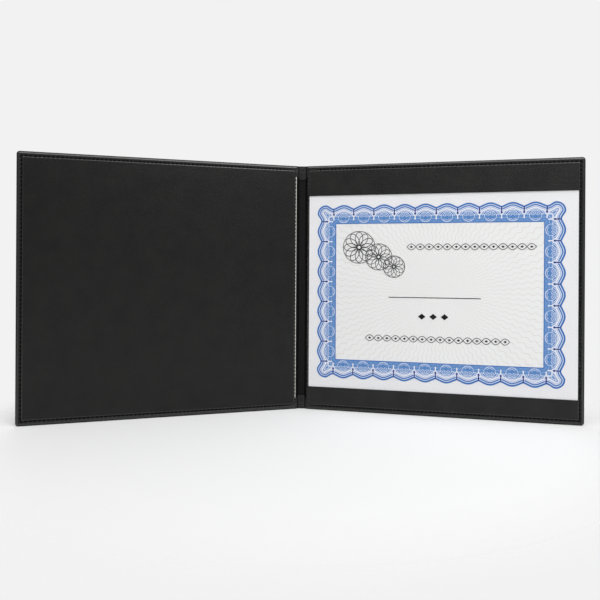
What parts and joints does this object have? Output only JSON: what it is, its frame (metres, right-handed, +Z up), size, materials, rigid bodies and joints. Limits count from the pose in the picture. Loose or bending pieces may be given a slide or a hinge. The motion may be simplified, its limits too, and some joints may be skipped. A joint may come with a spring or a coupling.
{
  "type": "diploma cover",
  "caption": "Padded leatherette folder that opens like a book, with a sewn pocket on the right leaf holding a bordered certificate behind a clear sheet.",
  "frame": {"origin": "under the middle of the cover, on the surface it stands on", "axes": "+X from the left leaf to the right leaf, +Y to the back of the spine, +Z up along the creases; the inner faces look to -Y"},
  "size_m": [0.57, 0.0796, 0.2725],
  "materials": {
    "leatherette": "semi-matt black, fine grain",
    "lining": "semi-matt black, fine grain",
    "grey_board": "plain grey board",
    "fleece": "soft wadding",
    "certificate_paper": "uncoated white",
    "blue_print": "flat blue ink",
    "clear_film": "clear, glossy",
    "thread": "black sewing thread"
  },
  "bodies": {
    "spine": {"spine_skin": "leatherette", "spine_strip": "grey_board", "spine_liner": "lining"},
    "left_leaf": {"left_skin": "leatherette", "left_board": "grey_board", "left_padding": "fleece", "left_lining": "lining", "left_seam_thread": "thread"},
    "right_leaf": {"right_skin": "leatherette", "right_board": "grey_board", "right_padding": "fleece", "right_lining": "lining", "certificate": "certificate_paper", "printed_border": "blue_print", "clear_film": "clear_film", "top_band": "leatherette", "bottom_band": "leatherette", "right_seam_thread": "thread"}
  },
  "joints": [
    {"name": "left_hinge", "type": "hinge", "parent": "spine", "child": "left_leaf", "pos_m": [-0.00435, 0.0395, 0], "axis": [0, 0, 1], "range_deg": [-15, 75]},
    {"name": "right_hinge", "type": "hinge", "parent": "spine", "child": "right_leaf", "pos_m": [0.00435, 0.0395, 0], "axis": [0, 0, -1], "range_deg": [-15, 75]}
  ]
}
